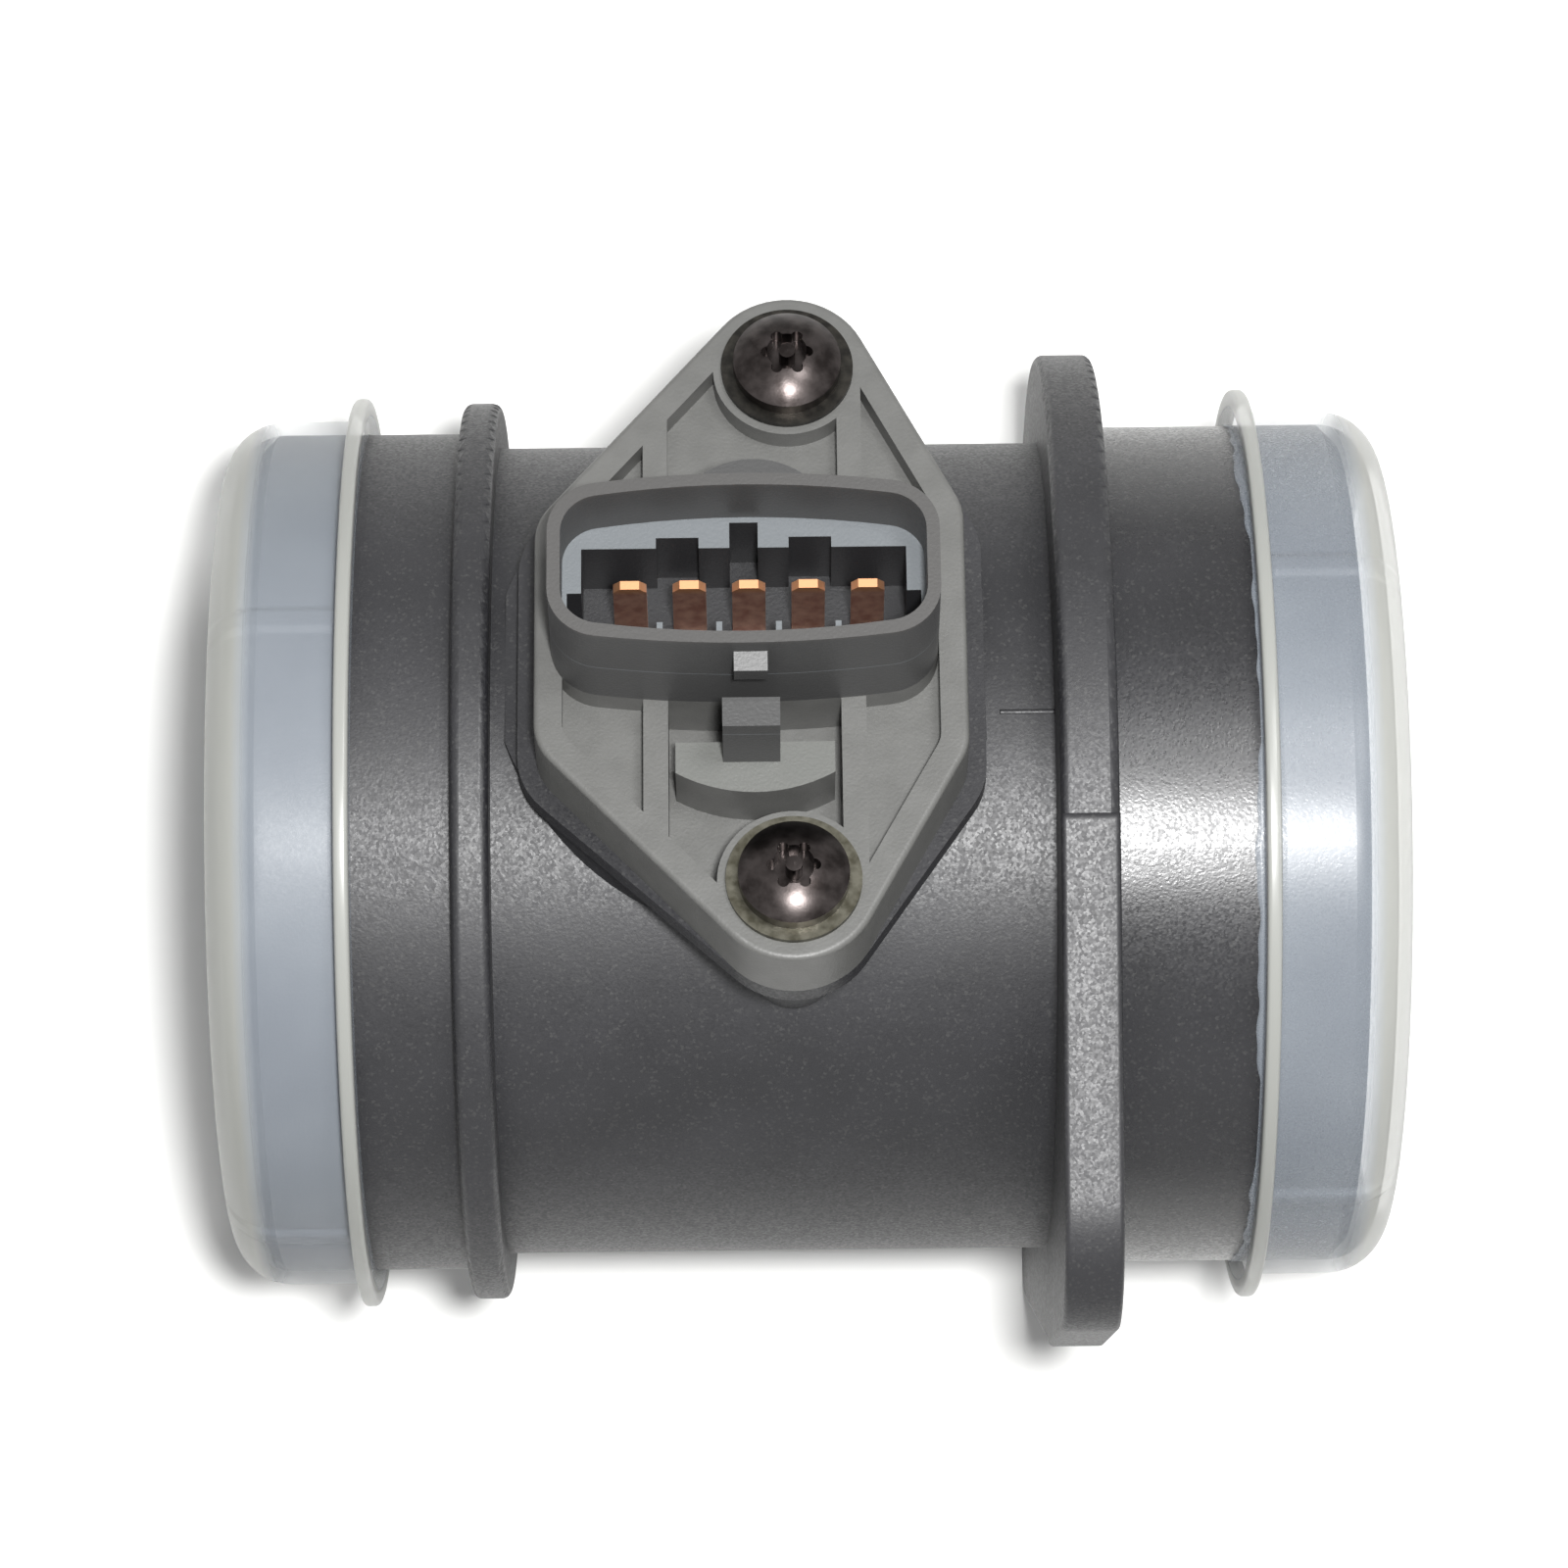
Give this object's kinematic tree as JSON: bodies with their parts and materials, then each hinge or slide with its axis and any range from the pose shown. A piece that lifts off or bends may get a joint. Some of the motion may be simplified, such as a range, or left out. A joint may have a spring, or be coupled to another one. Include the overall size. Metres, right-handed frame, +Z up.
{
  "type": "mass airflow sensor",
  "caption": "Hot-film mass airflow sensor in a round plastic duct section, with a keyed connector on a leaning flange, hose spigots at both ends and translucent dust caps.",
  "frame": {"origin": "centre of the inlet spigot's end, on the duct's axis", "axes": "+X along the duct, out of the inlet; +Z up, away from the collar's foot; the sensor leans from +Z towards +Y"},
  "size_m": [0.1036, 0.0928, 0.0995],
  "materials": {
    "housing_plastic": "satin moulded, glass-filled polyamide",
    "sensor_plastic": "matt moulded, glass-filled polyester",
    "cover_plastic": "matt moulded",
    "grid_plastic": "matt moulded",
    "cap_polyethylene": "milky translucent",
    "terminal_bronze": "copper-coloured with bright tips",
    "screw_steel": "black oxide, oiled",
    "sleeve_steel": "zinc plated, yellow passivated",
    "insert_brass": "turned",
    "seal_rubber": "matt",
    "base_aluminium": "rolled",
    "board_ceramic": "fired ceramic",
    "chip_silicon": "polished",
    "bead_epoxy": "dipped epoxy",
    "clip_steel": "spring steel"
  },
  "bodies": {
    "root": {"tube_housing": "housing_plastic", "sensor_body": "sensor_plastic", "electronics_cover": "cover_plastic", "channel_cover": "cover_plastic", "base_plate": "base_aluminium", "circuit_board": "board_ceramic", "hot_film_chip": "chip_silicon", "air_temperature_bead": "bead_epoxy", "seal_ring": "seal_rubber", "screw_upper": "screw_steel", "screw_lower": "screw_steel", "sleeve_upper": "sleeve_steel", "sleeve_lower": "sleeve_steel", "insert_upper": "insert_brass", "insert_lower": "insert_brass", "flow_grid": "grid_plastic", "grid_clip": "clip_steel", "inlet_dust_cap": "cap_polyethylene", "outlet_dust_cap": "cap_polyethylene", "terminal_1": "terminal_bronze", "terminal_2": "terminal_bronze", "terminal_3": "terminal_bronze", "terminal_4": "terminal_bronze", "terminal_5": "terminal_bronze"}
  },
  "joints": []
}
